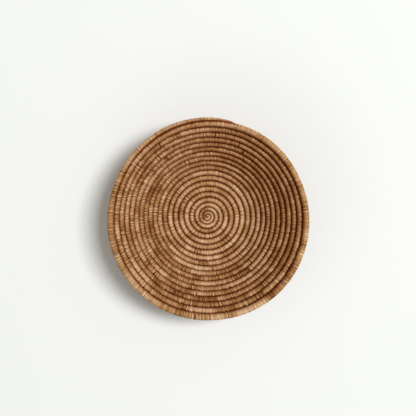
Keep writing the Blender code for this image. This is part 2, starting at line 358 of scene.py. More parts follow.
class Sketch:
    """Adds nodes to a tree from left to right, and links them."""

    column_width: float = 190.0
    row_height: float = 120.0
    rows: int = 4

    def __init__(self, tree: bpy.types.NodeTree) -> None:
        """Starts on a node tree."""
        self.tree = tree
        self.column = 0

    def add(self, kind: str, inputs: dict | None = None, **settings: object) -> bpy.types.Node:
        """Adds a node.

        Args:
            kind: the node's type name, without ShaderNode.
            inputs: for each input by name or number, a value or the output that is linked to it.
            settings: the node's own settings.

        Returns:
            The new node.
        """
        node = self.tree.nodes.new("ShaderNode" + kind)
        node.location = (self.column * self.column_width, -(self.column % self.rows) * self.row_height)
        self.column += 1
        for name, value in settings.items():
            setattr(node, name, value)
        self.feed(node.inputs, inputs or {})
        return node

    def feed(self, sockets: bpy.types.bpy_prop_collection, inputs: dict) -> None:
        """Sets or links some inputs.

        Args:
            sockets: the inputs to choose from.
            inputs: for each input by name or number, a value or the output that is linked to it.
        """
        for name, value in inputs.items():
            if isinstance(value, bpy.types.NodeSocket):
                self.tree.links.new(value, sockets[name])
            else:
                sockets[name].default_value = value

    def maths(self, operation: str, first: object, second: object, clamp: bool = False) -> bpy.types.NodeSocket:
        """Adds a Math node on two values or outputs, and returns its output."""
        return self.add("Math", {0: first, 1: second}, operation=operation, use_clamp=clamp).outputs[0]

    def noise(self, spot: bpy.types.NodeSocket, kind: tuple[float, float, float]) -> bpy.types.NodeSocket:
        """Adds a noise of a scale, detail and roughness over a vector, and returns its output."""
        return self.add("TexNoise", {"Vector": spot, **dict(zip(("Scale", "Detail", "Roughness"), kind))}).outputs[0]

    def stretch(self, value: bpy.types.NodeSocket, between: tuple[float, float]) -> bpy.types.NodeSocket:
        """Adds a node that stretches the values between two to run from 0 to 1, and returns its output."""
        return self.add("MapRange", {0: value, 1: between[0], 2: between[1]}).outputs[0]

    def blend(self, share: object, under: object, over: object) -> bpy.types.NodeSocket:
        """Adds a colour Mix node.

        Args:
            share: how much of the second colour, as a value or an output.
            under: the first colour or output.
            over: the second colour or output.

        Returns:
            The mixed colour's output.
        """
        node = self.add("Mix", data_type="RGBA", clamp_factor=True)
        sockets = {item.identifier: item for item in node.inputs}
        self.feed(sockets, {"Factor_Float": share, "A_Color": under, "B_Color": over})
        return next(item for item in node.outputs if item.identifier == "Result_Color")


class GroupSketch(Sketch):
    """A sketch inside a new node group, with the group's own inputs and outputs."""

    def __init__(self, name: str, inputs: dict[str, object], outputs: dict[str, str]) -> None:
        """Starts a node group with named sockets.

        Args:
            name: the group's name.
            inputs: for each input, its default: a number, a vector of 3 numbers or a colour of 4.
            outputs: for each output, its socket type.
        """
        super().__init__(bpy.data.node_groups.new(name, "ShaderNodeTree"))
        kinds = {0: "NodeSocketFloat", 3: "NodeSocketVector", 4: "NodeSocketColor"}
        for socket_name, default in inputs.items():
            size = len(default) if isinstance(default, tuple) else 0
            socket = self.tree.interface.new_socket(name=socket_name, in_out="INPUT", socket_type=kinds[size])
            socket.default_value = default
        for socket_name, kind in outputs.items():
            self.tree.interface.new_socket(name=socket_name, in_out="OUTPUT", socket_type=kind)
        self.given = self.tree.nodes.new("NodeGroupInput").outputs
        self.result = self.tree.nodes.new("NodeGroupOutput").inputs


@dataclass(frozen=True)
class LeafFibres:
    """Fine fibres that run the length of a strip of dry leaf, and broad blotches along it.

    The surface coordinates are stretched so that noise becomes long streaks: many across a strip, few along it.
    The blotches are as broad as the strip and a few to each time that it goes round the coil. Each noise is given as
    its scale, detail and roughness.
    """

    broad: tuple[float, float, float] = (1.0, 2.0, 0.55)
    fine: tuple[float, float, float] = (3.1, 1.0, 0.5)
    broad_share: float = 0.65
    fine_share: float = 0.35
    streak_range: tuple[float, float] = (0.32, 0.68)
    patches: tuple[float, float, float] = (0.8, 1.0, 0.5)
    patches_round: float = 7.0
    patch_range: tuple[float, float] = (0.30, 0.70)

    def group(self) -> bpy.types.NodeTree:
        """Builds the node group.

        Returns:
            The new group, which puts out the streaks, the blotches and the fibres' height.
        """
        sketch = GroupSketch(
            "leaf fibres",
            {"Surface": (0.0, 0.0, 0.0), "Across": 1.0, "Along": 1.0, "Blotches": self.patches_round, "Seed": 0.0},
            dict.fromkeys(("Streaks", "Blotch", "Height"), "NodeSocketFloat"),
        )
        given = sketch.given
        parts = sketch.add("SeparateXYZ", {0: given["Surface"]}).outputs
        across = sketch.maths("MULTIPLY", parts[0], given["Across"])
        along = sketch.maths("MULTIPLY", parts[1], given["Along"])
        spot = sketch.add("CombineXYZ", {0: across, 1: along, 2: given["Seed"]}).outputs[0]
        broad = sketch.maths("MULTIPLY", sketch.noise(spot, self.broad), self.broad_share)
        fine = sketch.maths("MULTIPLY", sketch.noise(spot, self.fine), self.fine_share)
        height = sketch.maths("ADD", broad, fine)
        stretched = sketch.maths("MULTIPLY", parts[1], given["Blotches"])
        patch = sketch.add("CombineXYZ", {0: parts[0], 1: stretched, 2: given["Seed"]}).outputs[0]
        sketch.feed(sketch.result, {
            "Streaks": sketch.stretch(height, self.streak_range), "Height": height,
            "Blotch": sketch.stretch(sketch.noise(patch, self.patches), self.patch_range),
        })
        return sketch.tree


def leaf_colour_group() -> bpy.types.NodeTree:
    """The colour of a strip of dry leaf, from its tone, its warmth, its fibres and its painted shade, which darkens
    the grooves, creases and seams.

    A tone of 0 is the leaf's middle colour, 1 its pale one and -1 its dark one. Warmth mixes in the reddish one.
    The painted shade's tint goes in twice, once for each time that light meets the leaf there, so the painted shade
    is a red brown.

    Returns:
        The node group.
    """
    numbers = dict.fromkeys(
        ("Tone", "Warmth", "Streaks", "Streak Depth", "Blotch", "Blotch Depth", "Nook", "Nook Depth"), 0.0
    )
    colours = dict.fromkeys(("Pale", "Middle", "Dark", "Reddish", "Nook Tint"), WHITE)
    sketch = GroupSketch("dry leaf colour", numbers | colours, {"Color": "NodeSocketColor"})
    given = sketch.given
    tone = given["Tone"]
    for mask, depth in (("Streaks", "Streak Depth"), ("Blotch", "Blotch Depth")):
        swing = sketch.maths("MULTIPLY", sketch.maths("SUBTRACT", given[mask], 0.5), given[depth])
        tone = sketch.maths("ADD", tone, swing)
    rise = sketch.maths("MULTIPLY", tone, 1.0, clamp=True)
    fall = sketch.maths("MULTIPLY", tone, -1.0, clamp=True)
    colour = sketch.blend(rise, given["Middle"], given["Pale"])
    colour = sketch.blend(fall, colour, given["Dark"])
    colour = sketch.blend(given["Warmth"], colour, given["Reddish"])
    # painted shade: darkens and reddens the colour where grooves, seams and creases would lie in shade
    nook = sketch.maths("MULTIPLY", given["Nook"], given["Nook Depth"])
    shade = sketch.blend(nook, WHITE, given["Nook Tint"])
    for _ in range(2):
        colour = sketch.add("VectorMath", {0: colour, 1: shade}, operation="MULTIPLY").outputs[0]
    sketch.feed(sketch.result, {"Color": colour})
    return sketch.tree


@dataclass(frozen=True)
class LeafFinish:
    """Strips of dry raffia leaf with a satin face: their colours, painted shade, fibres and gloss."""

    name: str
    pale: Colour = (0.78, 0.545, 0.33, 1.0)
    middle: Colour = (0.51, 0.285, 0.115, 1.0)
    dark: Colour = (0.205, 0.077, 0.018, 1.0)
    reddish: Colour = (0.38, 0.13, 0.045, 1.0)
    # painted shade: the colour that grooves, creases and seams are darkened towards, and how far
    nook_tint: Colour = (0.475, 0.235, 0.115, 1.0)
    streak_depth: float = 0.45
    blotch_depth: float = 0.55
    nook_depth: float = 1.0
    across: float = 7.0
    along: float = 2.0
    roughness: float = 0.46
    roughness_swing: float = 0.14
    bump: float = 0.00004
    specular: float = 0.035
    seed: float = 0.0

    def material(self, fibres: bpy.types.NodeTree, colours: bpy.types.NodeTree) -> bpy.types.Material:
        """Builds the material.

        Args:
            fibres: the group that draws the fibres.
            colours: the group that mixes the leaf's colour.

        Returns:
            The new material, which reads the surface's own coordinates and the values tone, warmth and painted shade.
        """
        made = bpy.data.materials.new(self.name)
        made.use_nodes = True
        sketch = Sketch(made.node_tree)
        surface = sketch.add("UVMap", uv_map="strips").outputs[0]
        fibre = sketch.add("Group", node_tree=fibres)
        sketch.feed(fibre.inputs, {
            "Surface": surface, "Across": self.across, "Along": self.along, "Seed": self.seed,
        })
        colour = sketch.add("Group", node_tree=colours)
        for name in ("Tone", "Warmth", "Nook"):
            value = sketch.add("Attribute", attribute_name=name.lower()).outputs["Fac"]
            sketch.feed(colour.inputs, {name: value})
        sketch.feed(colour.inputs, {
            "Streaks": fibre.outputs["Streaks"], "Streak Depth": self.streak_depth,
            "Blotch": fibre.outputs["Blotch"], "Blotch Depth": self.blotch_depth, "Nook Depth": self.nook_depth,
            "Pale": self.pale, "Middle": self.middle, "Dark": self.dark, "Reddish": self.reddish,
            "Nook Tint": self.nook_tint,
        })
        half_swing = self.roughness_swing / 2.0
        gloss = sketch.add("MapRange", {
            0: fibre.outputs["Streaks"], 3: self.roughness + half_swing, 4: self.roughness - half_swing,
        })
        bump = sketch.add("Bump", {"Strength": 1.0, "Distance": self.bump, "Height": fibre.outputs["Height"]})
        sketch.feed(made.node_tree.nodes["Principled BSDF"].inputs, {
            "Base Color": colour.outputs["Color"], "Roughness": gloss.outputs[0], "Normal": bump.outputs[0],
            "Specular IOR Level": self.specular,
        })
        return made


@dataclass(frozen=True)
class WallFinish:
    """A pale painted wall, seen only from the front, with painted shade round the plate that is greyest up and right
    of the plate's axis.
    """

    name: str = "painted wall"
    colour: Colour = (0.925, 0.938, 0.94, 1.0)
    # painted shade round the plate: its colour, where it is centred and where it fades out
    middle: Colour = (0.862, 0.882, 0.888, 1.0)
    middle_place: tuple[float, float, float] = (0.045, 0.0, 0.055)
    middle_reach: tuple[float, float] = (0.10, 0.27)
    roughness: float = 0.9

    def material(self) -> bpy.types.Material:
        """Builds the material.

        Returns:
            The new material, whose back faces let every ray through, so that the plate shows from behind.
        """
        made = bpy.data.materials.new(self.name)
        made.use_nodes = True
        sketch = Sketch(made.node_tree)
        shader = made.node_tree.nodes["Principled BSDF"]
        # painted shade: the wall greys towards the plate
        place = sketch.add("TexCoord").outputs["Object"]
        beside = sketch.add("VectorMath", {0: place, 1: self.middle_place}, operation="SUBTRACT").outputs[0]
        level = sketch.add("VectorMath", {0: beside, 1: (1.0, 0.0, 1.0)}, operation="MULTIPLY").outputs[0]
        away = sketch.add("VectorMath", {0: level}, operation="LENGTH").outputs["Value"]
        near, far = self.middle_reach
        reach = sketch.add("MapRange", {0: away, 1: near, 2: far}, interpolation_type="SMOOTHSTEP")
        colour = sketch.blend(reach.outputs[0], self.middle, self.colour)
        sketch.feed(shader.inputs, {"Base Color": colour, "Roughness": self.roughness, "Specular IOR Level": 0.0})
        clear = sketch.add("BsdfTransparent")
        facing = sketch.add("NewGeometry")
        both = sketch.add("MixShader", {0: facing.outputs["Backfacing"], 1: shader.outputs[0], 2: clear.outputs[0]})
        sketch.feed(made.node_tree.nodes["Material Output"].inputs, {"Surface": both.outputs[0]})
        return made


# The coil


@dataclass(frozen=True)
class CoilRoute:
    """The coil's middle line, its thickness and the slope of the plate's wall, turn by turn.

    Each point of a turn lies one coil's thickness from the point of the turn before, in the direction of the slope.
    The solids have straight sides between their points, so the true round coil runs midway between the corners and
    the sides. The coil starts with a short curl, swells over its last turns and tapers over the tail.

    Each entry of the unevenness is a direction, a half width in degrees and an amount.
    """

    start_diameter: float = 0.0031
    base_diameter: float = 0.0082
    rim_diameter: float = 0.0092
    growing_turns: float = 5.5
    start_radius: float = 0.0017
    turn_gap: float = 0.00055
    flat_turns: float = 5.4
    bend_turns: float = 7.5
    wall_slope: float = math.radians(40.5)
    whole_turns: int = 20
    tail_angle: float = math.radians(76.2)
    solid_points: int = 24
    tail_steps: float = 2.42
    swell: float = 0.0007
    rim_slope: float = math.radians(34.5)
    rim_turns: float = 3.0
    uneven_turns: float = 3.8
    unevenness: tuple[tuple[float, float, float], ...] = (
        (157.0, 55.0, -0.00075), (315.0, 45.0, 0.0006), (22.0, 35.0, -0.00045),
    )
    tail_taper: float = 0.29
    end_diameter: float = 0.0034
    tail_point: float = 0.06
    tip_diameter: float = 0.0014
    curl_turns: float = 0.5
    curl_diameter: float = 0.0030
    steps: int = 240

    @property
    def last(self) -> float:
        """The number of turns from the first point to the tail's tip."""
        return self.whole_turns + self.tail_steps / self.solid_points

    def diameter(self, turn: np.ndarray) -> np.ndarray:
        """The wrapped coil's thickness.

        It rises as 1.5 s less 0.5 s cubed over the growing turns, then evenly to the rim, and swells over the last
        turns, where it is also uneven by direction. Over the tail it thins evenly to the end's, and over the tail's
        point faster to the tip's.

        Args:
            turn: how far along the coil, in turns.

        Returns:
            The thickness there.
        """
        early = np.clip(turn / self.growing_turns, 0.0, 1.0)
        grown = self.start_diameter + (self.base_diameter - self.start_diameter) * (1.5 * early - 0.5 * early ** 3)
        late = np.clip((turn - self.growing_turns) / (self.last - self.growing_turns), 0.0, 1.0)
        full = grown + (self.rim_diameter - self.base_diameter) * late
        full = full + self.swell * self.rim_share(turn) + self.uneven(turn)
        full = full + (self.curl_diameter - self.start_diameter) * smooth_step(-turn / self.curl_turns)
        point = 1.0 - np.clip((self.last - turn) / self.tail_point, 0.0, 1.0)
        thinned = self.end_diameter + (full - self.end_diameter) * self.tail_left(turn)
        return thinned - (self.end_diameter - self.tip_diameter) * point ** 2

    def slope(self, turn: np.ndarray) -> np.ndarray:
        """The angle between the plate's wall and the room's. It eases off again towards the rim."""
        risen = self.wall_slope * smooth_step((turn - self.flat_turns) / self.bend_turns)
        return risen - (self.wall_slope - self.rim_slope) * self.rim_share(turn)

    def rim_share(self, turn: np.ndarray) -> np.ndarray:
        """Rises from 0 to 1 over the last turns, with level ends."""
        return smooth_step((turn - self.whole_turns + self.rim_turns) / self.rim_turns)

    def tail_left(self, turn: np.ndarray) -> np.ndarray:
        """Falls evenly from 1 to 0 over the tail."""
        return np.clip((self.last - turn) / self.tail_taper, 0.0, 1.0)

    def uneven(self, turn: np.ndarray) -> np.ndarray:
        """What the last turns are thicker by in some directions, and thinner in others.

        Each amount falls off as half a cosine wave to nothing at its half width.

        Args:
            turn: how far along the coil, in turns.

        Returns:
            The thickness to add there.
        """
        total = np.zeros_like(turn)
        for direction, half_width, amount in self.unevenness:
            off = np.degrees(angle_off(self.angle(turn), math.radians(direction)))
            total = total + amount * (0.5 + 0.5 * np.cos(math.pi * np.clip(off / half_width, -1.0, 1.0)))
        return smooth_step(turn - self.whole_turns + self.uneven_turns) * total

    def angle(self, turn: np.ndarray) -> np.ndarray:
        """The direction of the coil's point from the axis. The coil runs clockwise outwards, seen from the front."""
        return self.tail_angle + TAU * (self.last - turn)

    def step_out(self, inner: np.ndarray, outer: np.ndarray) -> tuple[np.ndarray, np.ndarray]:
        """The step from points of one turn to those of the next, as outwards and off the wall.

        Over the tail the gap between the two closes, because the coil is drawn in tight there.

        Args:
            inner: the points of the one turn, in turns.
            outer: the points of the next, in turns.

        Returns:
            How far each point of the next turn lies further out, and further off the wall.
        """
        inner_radius = self.diameter(inner) / 2.0
        outer_radius = self.diameter(outer) / 2.0
        step = inner_radius + outer_radius + self.turn_gap * self.tail_left(outer)
        direction = self.slope(outer) + np.arcsin((outer_radius - inner_radius) / step)
        return step * np.cos(direction), step * np.sin(direction)

    def table(self) -> "CoilTable":
        """Works out the whole route, one turn after the other.

        The distance from the axis grows evenly from nothing over the curl, and then over the first turn.

        Returns:
            The route at close steps.
        """
        before_first = round(self.curl_turns * self.steps)
        total = before_first + round(self.last * self.steps) + 1
        turn = (np.arange(total) - before_first) / self.steps
        radius = np.zeros(total)
        height = self.diameter(turn) / 2.0
        first_out, _ = self.step_out(np.array([0.0]), np.array([1.0]))
        opening = before_first + self.steps
        opened = turn[:opening]
        curl_rise = self.start_radius / self.curl_turns
        radius[:opening] = self.start_radius + np.where(opened < 0.0, curl_rise, first_out[0]) * opened
        for begin in range(opening, total, self.steps):
            end = min(begin + self.steps, total)
            here = slice(begin, end)
            before = slice(begin - self.steps, end - self.steps)
            out, up = self.step_out(turn[before], turn[here])
            radius[here] = radius[before] + out
            height[here] = height[before] + up
        rounding = (1.0 + math.cos(math.pi / self.solid_points)) / 2.0
        return CoilTable(self, turn, radius * rounding, height).unevened()


@dataclass(frozen=True)
class CoilTable:
    """The coil's route at close steps, from which any place on the coil is read."""

    route: CoilRoute
    turn: np.ndarray
    radius: np.ndarray
    height: np.ndarray
    wobble: float = 0.00018
    wobble_length: float = 0.035
    seed: int = 3

    def unevened(self) -> "CoilTable":
        """The same route with a hand's unevenness: smooth noise along it in the distance from the axis."""
        shift = self.wobble * wander(np.random.default_rng(self.seed), self.lengths(), self.wobble_length)
        return CoilTable(self.route, self.turn, self.radius + shift, self.height)

    def lengths(self) -> np.ndarray:
        """Measures the coil.

        Returns:
            The distance along it from its first point to each step.
        """
        angle = self.route.angle(self.turn)
        places = np.stack([self.radius * np.cos(angle), self.radius * np.sin(angle), self.height], axis=-1)
        return np.concatenate([[0.0], np.cumsum(np.linalg.norm(np.diff(places, axis=0), axis=1))])

    def turn_at(self, along: np.ndarray) -> np.ndarray:
        """How many turns along the coil some distances along it are."""
        return np.interp(along, self.lengths(), self.turn)

    def around(self, turn: np.ndarray, angle: np.ndarray, reach: np.ndarray) -> np.ndarray:
        """Places round the coil, in the plate's frame.

        A place is the coil's middle, plus the reach times the cosine of the angle outwards along the plate's wall,
        plus the reach times its sine square to the wall, towards the front.

        Args:
            turn: how far along the coil, in turns.
            angle: the direction round the coil, from 0 where it faces outwards through a quarter turn to the front.
            reach: the distance from the coil's middle line.

        Returns:
            Rows of x, up and height off the wall.
        """
        across = self.route.angle(turn)
        slope = self.route.slope(turn)
        out = np.cos(angle) * np.cos(slope) - np.sin(angle) * np.sin(slope)
        up = np.cos(angle) * np.sin(slope) + np.sin(angle) * np.cos(slope)
        radius = np.interp(turn, self.turn, self.radius) + reach * out
        height = np.interp(turn, self.turn, self.height) + reach * up
        return np.stack([radius * np.cos(across), radius * np.sin(across), height], axis=-1)


@dataclass(frozen=True)
class RaffiaTones:
    """How pale or dark and how reddish the strips are, from run to run, from strip to strip and over the plate, with
    painted light and shade.

    The lengths of runs are counted in strips. Each wave is a size and the spacing of its heights, also in strips.
    """

    run_lengths: tuple[int, int] = (5, 28)
    run_spread: float = 0.12
    odd_runs: float = 0.04
    odd_run: tuple[float, float] = (0.20, 0.40)
    drift: float = 0.22
    clump_spread: float = 0.08
    clump_longest: int = 3
    face_spread: float = 0.29
    odd_strips: float = 0.03
    odd_strip: tuple[float, float] = (0.3, 0.7)
    waves: tuple[tuple[float, float], ...] = ((0.40, 5.5), (0.62, 10.0), (0.32, 26.0), (0.12, 140.0))
    warm_run: float = 0.08
    warm_run_spread: float = 0.07
    warm_run_most: float = 0.6
    warm_spread: float = 0.08
    lift: float = 0.03
    fade_sharpness: float = 1.5
    # the middle is paler all round, and more on its right, towards the window, as painted light
    centre_lift: float = 0.22
    centre_side: float = 0.20
    centre_angle: float = math.radians(-12.0)
    centre_radius: float = 0.056
    rim_lift: float = 0.20
    rim_angle: float = math.radians(130.0)
    rim_radius: float = 0.112
    rim_reach: float = 0.018
    # painted shade on the upper right wall, which the window's light falls away from; the tones there also differ less
    shade_calm: float = 0.40
    shade_drop: float = 0.10
    shade_warmth: float = 0.10
    shade_angle: float = math.radians(52.0)
    shade_spread: float = math.radians(105.0)
    shade_radius: float = 0.102
    shade_reach: float = 0.046
    tail_drop: float = 0.25
    tail_warmth: float = 0.5
    tail_turns: float = 0.045

    def drawn(self, rng: np.random.Generator, count: int) -> tuple[np.ndarray, np.ndarray]:
        """Draws each strip's tone and warmth.

        A run of strips from one raffia length has a tone of its own, with some pale and some dark runs, and drifts
        along it. Clumps of a few strips differ, each strip differs from its two neighbours as a leaf's faces and
        edges do, a few odd strips stand out, and smooth waves go over them all.

        Args:
            rng: where the numbers are drawn from.
            count: the number of strips.

        Returns:
            The tones, where 0 is the middle colour, and the warmths, from 0 to 1.
        """
        lengths = rng.integers(*self.run_lengths, count)
        run = np.repeat(np.arange(count), lengths)[:count]
        begin = np.repeat(np.cumsum(lengths) - lengths, lengths)[:count]
        within = (np.arange(count) - begin) / lengths[run]
        base = rng.normal(0.0, self.run_spread, count)
        kind = rng.random(count)
        low, high = self.odd_run
        base = np.where(kind < self.odd_runs, rng.uniform(low, high, count), base)
        base = np.where(kind > 1.0 - self.odd_runs, rng.uniform(-high, -low, count), base)
        tone = base[run] + rng.normal(0.0, self.drift, count)[run] * (within - 0.5)
        clumps = rng.normal(0.0, self.clump_spread, count)
        tone += np.repeat(clumps, rng.integers(1, self.clump_longest + 1, count))[:count]
        face = rng.normal(0.0, self.face_spread, count)
        tone += face - 0.5 * (np.roll(face, 1) + np.roll(face, -1))
        odd = rng.random(count)
        tone += np.where(odd < self.odd_strips, rng.uniform(*self.odd_strip, count), 0.0)
        tone -= np.where(odd > 1.0 - self.odd_strips, rng.uniform(*self.odd_strip, count), 0.0)
        for size, spacing in self.waves:
            tone += size * wander(rng, np.arange(count, dtype=float), spacing)
        warm_run = np.clip(rng.normal(self.warm_run, self.warm_run_spread, count), 0.0, self.warm_run_most)
        warmth = np.clip(warm_run[run] + rng.normal(0.0, self.warm_spread, count), 0.0, 1.0)
        return np.clip(tone, -1.0, 1.0), warmth

    def weathered(
        self, table: CoilTable, turn: np.ndarray, tone: np.ndarray, warmth: np.ndarray
    ) -> tuple[np.ndarray, np.ndarray]:
        """Makes the strips paler near the plate's middle and its rim, darker on the tail, and paints shade on its
        upper right wall, which is turned from the window's light.

        The middle is palest on the right, towards the window, which is painted light, and the rim on the upper left.
        These and the painted shade on the wall fade smoothly with the distance from the axis and with the direction.
        Towards the upper right the tones also differ less.

        Args:
            table: the coil's route.
            turn: how far along the coil each strip lies, in turns.
            tone: the strips' tones.
            warmth: their warmths.

        Returns:
            The tones and warmths that result.
        """
        radius = np.interp(turn, table.turn, table.radius)
        angle = table.route.angle(turn)
        off = np.abs(angle_off(angle, self.shade_angle))
        beside = smooth_step(self.fade_sharpness * (1.0 - off / self.shade_spread))
        ring = self.fade_sharpness * (1.0 - np.abs(radius - self.shade_radius) / self.shade_reach)
        # painted shade on the upper right wall, turned from the window's light
        shade = beside * smooth_step(ring)
        # the middle is paler all round, and more on its right, towards the window, as painted light
        centre = smooth_step(2.0 - radius / self.centre_radius)
        centre = centre * (self.centre_lift + self.centre_side * np.cos(angle - self.centre_angle))
        rim = smooth_step((radius - self.rim_radius) / self.rim_reach) * (0.5 + 0.5 * np.cos(angle - self.rim_angle))
        tail = smooth_step(1.0 - (table.route.last - turn) / self.tail_turns)
        tone = tone * (1.0 - self.shade_calm * beside)
        tone = tone + self.lift + centre + self.rim_lift * rim - self.shade_drop * shade - self.tail_drop * tail
        warmth = warmth + self.shade_warmth * shade + self.tail_warmth * tail
        return np.clip(tone, -1.0, 1.0), np.clip(warmth, 0.0, 1.0)


@dataclass(frozen=True)
class StripPlan:
    """Where each strip of raffia begins along the coil, and its own tone, warmth, lift, tilt and groove shade shift.

    There is one more beginning than strips, for the end of the last one. The groove shade shift moves where the
    strip's painted shade in the grooves begins round the coil. The seam, one at each beginning, says how deep the
    painted shade in the line between two strips is.
    """

    starts: np.ndarray
    tone: np.ndarray
    warmth: np.ndarray
    lift: np.ndarray
    tilt: np.ndarray
    pull: np.ndarray
    seam: np.ndarray

    @property
    def count(self) -> int:
        """The number of strips."""
        return len(self.tone)


@dataclass
class RaffiaWrapping:
    """The raffia strips wound side by side round the coil, from its first point to the tail.

    Each strip goes once round the coil, leaning over to its neighbour's place on the front and back again behind,
    and is pulled down into the groove between two turns. A length of raffia makes a run of strips of one tone.
    """

    table: CoilTable
    strip_width: float = 0.0018
    start_width: float = 0.0008
    width_turns: float = 3.0
    width_jitter: float = 0.33
    lean: float = 0.18
    lean_fades: tuple[float, float] = (0.012, 0.006)
    around: int = 20
    samples: tuple[float, ...] = (0.0, 0.12, 0.34, 0.57, 0.80, 0.94)
    edge_depth: float = 0.00028
    edge_power: int = 4
    lift_spread: float = 0.00012
    tilt_spread: float = 0.00015
    odd_share: float = 0.03
    odd_lift: float = 0.00035
    grip_power: int = 8
    groove_grip: float = 0.5
    groove_seat: float = 0.00020
    # painted shade in the grooves: where it begins round the coil, how it deepens and how it varies by strip
    groove_start: float = 0.25
    groove_inwards: float = 0.10
    groove_outwards: float = 0.42
    groove_power: float = 1.5
    groove_ease: float = 0.13
    groove_jitter: float = 0.14
    # painted shade on each turn's side that faces the axis, deepest towards the upper right, away from the window's
    # light
    flank_depth: float = 0.85
    flank_power: float = 1.2
    flank_even: float = 0.66
    dim_angle: float = math.radians(45.0)
    # painted shade in the lines between strips
    seam_depth: float = 1.15
    seam_even: float = 0.15
    rim_fade: float = 0.03
    wall_clearance: float = 0.00002
    bore_turn: float = 3.5
    wall: float = 0.0010
    bore_spacing: int = 2
    piece_count: int = 8
    nose: float = 0.0005
    tail_nose: float = 0.0032
    end_least: float = 0.03
    seed: int = 7

    def strips(self) -> StripPlan:
        """Lays out the strips along the coil and draws their tones.

        The count of strips up to a place is the coil's length divided by the strip's width, added up, so the places
        of the strips' edges are read back from that count.

        Returns:
            The plan, with the strips' beginnings as distances along the coil.
        """
        rng = np.random.default_rng(self.seed)
        lengths = self.table.lengths()
        grown = smooth_step(self.table.turn / self.width_turns)
        widths = self.start_width + (self.strip_width - self.start_width) * grown
        counted = np.concatenate([[0.0], np.cumsum(np.diff(lengths) / ((widths[1:] + widths[:-1]) / 2.0))])
        count = int(counted[-1])
        edges = np.arange(count + 1) + self.width_jitter * rng.uniform(-1.0, 1.0, count + 1)
        edges[0], edges[-1] = 0.0, counted[-1]
        starts = np.interp(edges, counted, lengths)
        tones = RaffiaTones()
        tone, warmth = tones.weathered(self.table, self.table.turn_at(starts[:-1]), *tones.drawn(rng, count))
        lift = rng.normal(0.0, self.lift_spread, count) + self.odd_lift * (rng.random(count) < self.odd_share)
        tilt = rng.normal(0.0, self.tilt_spread, count)
        pull = rng.normal(0.0, self.groove_jitter, count)
        seam = self.seam_depth * rng.random(count + 1) ** 2
        return StripPlan(starts, tone, warmth, lift, tilt, pull, seam)

    def outer(self, plan: StripPlan, first: int, last: int) -> tuple[np.ndarray, np.ndarray, dict[str, np.ndarray]]:
        """The outer face of some of the strips.

        A point's distance from the coil's middle is the coil's radius, less an edge depth times a power of how far
        across the strip it lies, plus the strip's lift and its tilt times how far across. Its place along the coil
        leans with the cosine of the direction round the coil. Towards the grooves, where that cosine nears 1 or -1,
        a strip lies flatter and its painted shade rises to 1, though not on the rim's outer side. Where the wall is
        steep the painted shade also takes in each turn's side that faces the axis, most on the plate's upper right,
        which the window's light falls away from. The lines between strips get painted shade as well.

        Args:
            plan: the strips.
            first: the first strip.
            last: the strip after the last one.

        Returns:
            The grid in the world's frame, the surface coordinates and the named values.
        """
        route = self.table.route
        total = self.table.lengths()[-1]
        number = np.append(np.repeat(np.arange(first, last), len(self.samples)), last - 1)
        share = np.append(np.tile(np.array(self.samples), last - first), 1.0)
        width = plan.starts[number + 1] - plan.starts[number]
        along = plan.starts[number] + share * width
        angle = round_angles(self.around)
        outwards = np.cos(angle)
        fade = np.minimum(along / self.lean_fades[0], (total - along) / self.lean_fades[1])
        lean = -self.lean * (width * np.clip(fade, 0.0, 1.0))[:, None] * outwards[None, :]
        turn = self.table.turn_at(np.clip(along[:, None] + lean, 0.0, total))

        across = 2.0 * share - 1.0
        covered = np.clip((route.last - 1.0 - turn) / self.rim_fade + 1.0, 0.0, 1.0)
        side = np.abs(outwards) * np.where(outwards > 0.0, covered, 1.0)
        radius = (route.diameter(turn) + route.turn_gap) / 2.0
        shape = plan.lift[number] + plan.tilt[number] * across - self.edge_depth * across ** self.edge_power
        deep = side ** self.grip_power
        reach = radius + shape[:, None] * (1.0 - self.groove_grip * deep) + self.groove_seat * deep
        ends = np.minimum(along / self.nose, (total - along) / self.tail_nose)
        reach = reach * rounded_end(ends, self.end_least)[:, None]
        places = self.table.around(turn, np.broadcast_to(angle, turn.shape), reach)
        places[..., 2] = np.maximum(places[..., 2], self.wall_clearance)

        # painted shade: the grooves, each turn's side that faces the axis on the steep wall, and the lines between
        # strips
        slope = route.slope(turn)
        steep = slope / route.wall_slope
        shift = np.where(outwards > 0.0, self.groove_outwards, self.groove_inwards)
        begin = self.groove_start + shift * steep + plan.pull[number][:, None]
        groove = np.clip((side - begin) / (1.0 - begin), 0.0, 1.0) ** self.groove_power
        groove = groove * (1.0 - self.groove_ease * (1.0 - steep))
        dim = self.flank_even + (1.0 - self.flank_even) * np.cos(route.angle(turn) - self.dim_angle)
        flank = self.flank_depth * steep * dim * np.clip(-np.cos(angle + slope), 0.0, 1.0) ** self.flank_power
        edge = np.where(across > 0.0, plan.seam[number + 1], plan.seam[number]) * across ** self.edge_power
        seam = edge[:, None] * (self.seam_even + (1.0 - self.seam_even) * np.abs(outwards))
        values = {
            "tone": plan.tone[number][:, None], "warmth": plan.warmth[number][:, None],
            "nook": np.clip(groove + seam + flank, 0.0, 1.0),
        }
        return into_world(places), chart_of((number + share)[:, None], angle), values

    def bore(self, turns: np.ndarray) -> np.ndarray:
        """The inner face of the wrapping at some turns, a wall's thickness inside the outer one."""
        angle, turn = np.broadcast_arrays(round_angles(self.around), turns[:, None])
        return into_world(self.table.around(turn, angle, self.table.route.diameter(turn) / 2.0 - self.wall))

    def build(self, material: bpy.types.Material) -> None:
        """Builds the wrapping as a few closed tubes, each of as many strips.

        Args:
            material: the raffia's finish.
        """
        plan = self.strips()
        route = self.table.route
        LOG.info("raffia wrapping: %d strips on %.3f m of coil", plan.count, self.table.lengths()[-1])
        cuts = np.linspace(0, plan.count, self.piece_count + 1).astype(int)
        strip_turn = self.table.turn_at(plan.starts)
        face = {"tone": 0.0, "warmth": 0.0, "nook": 0.0}
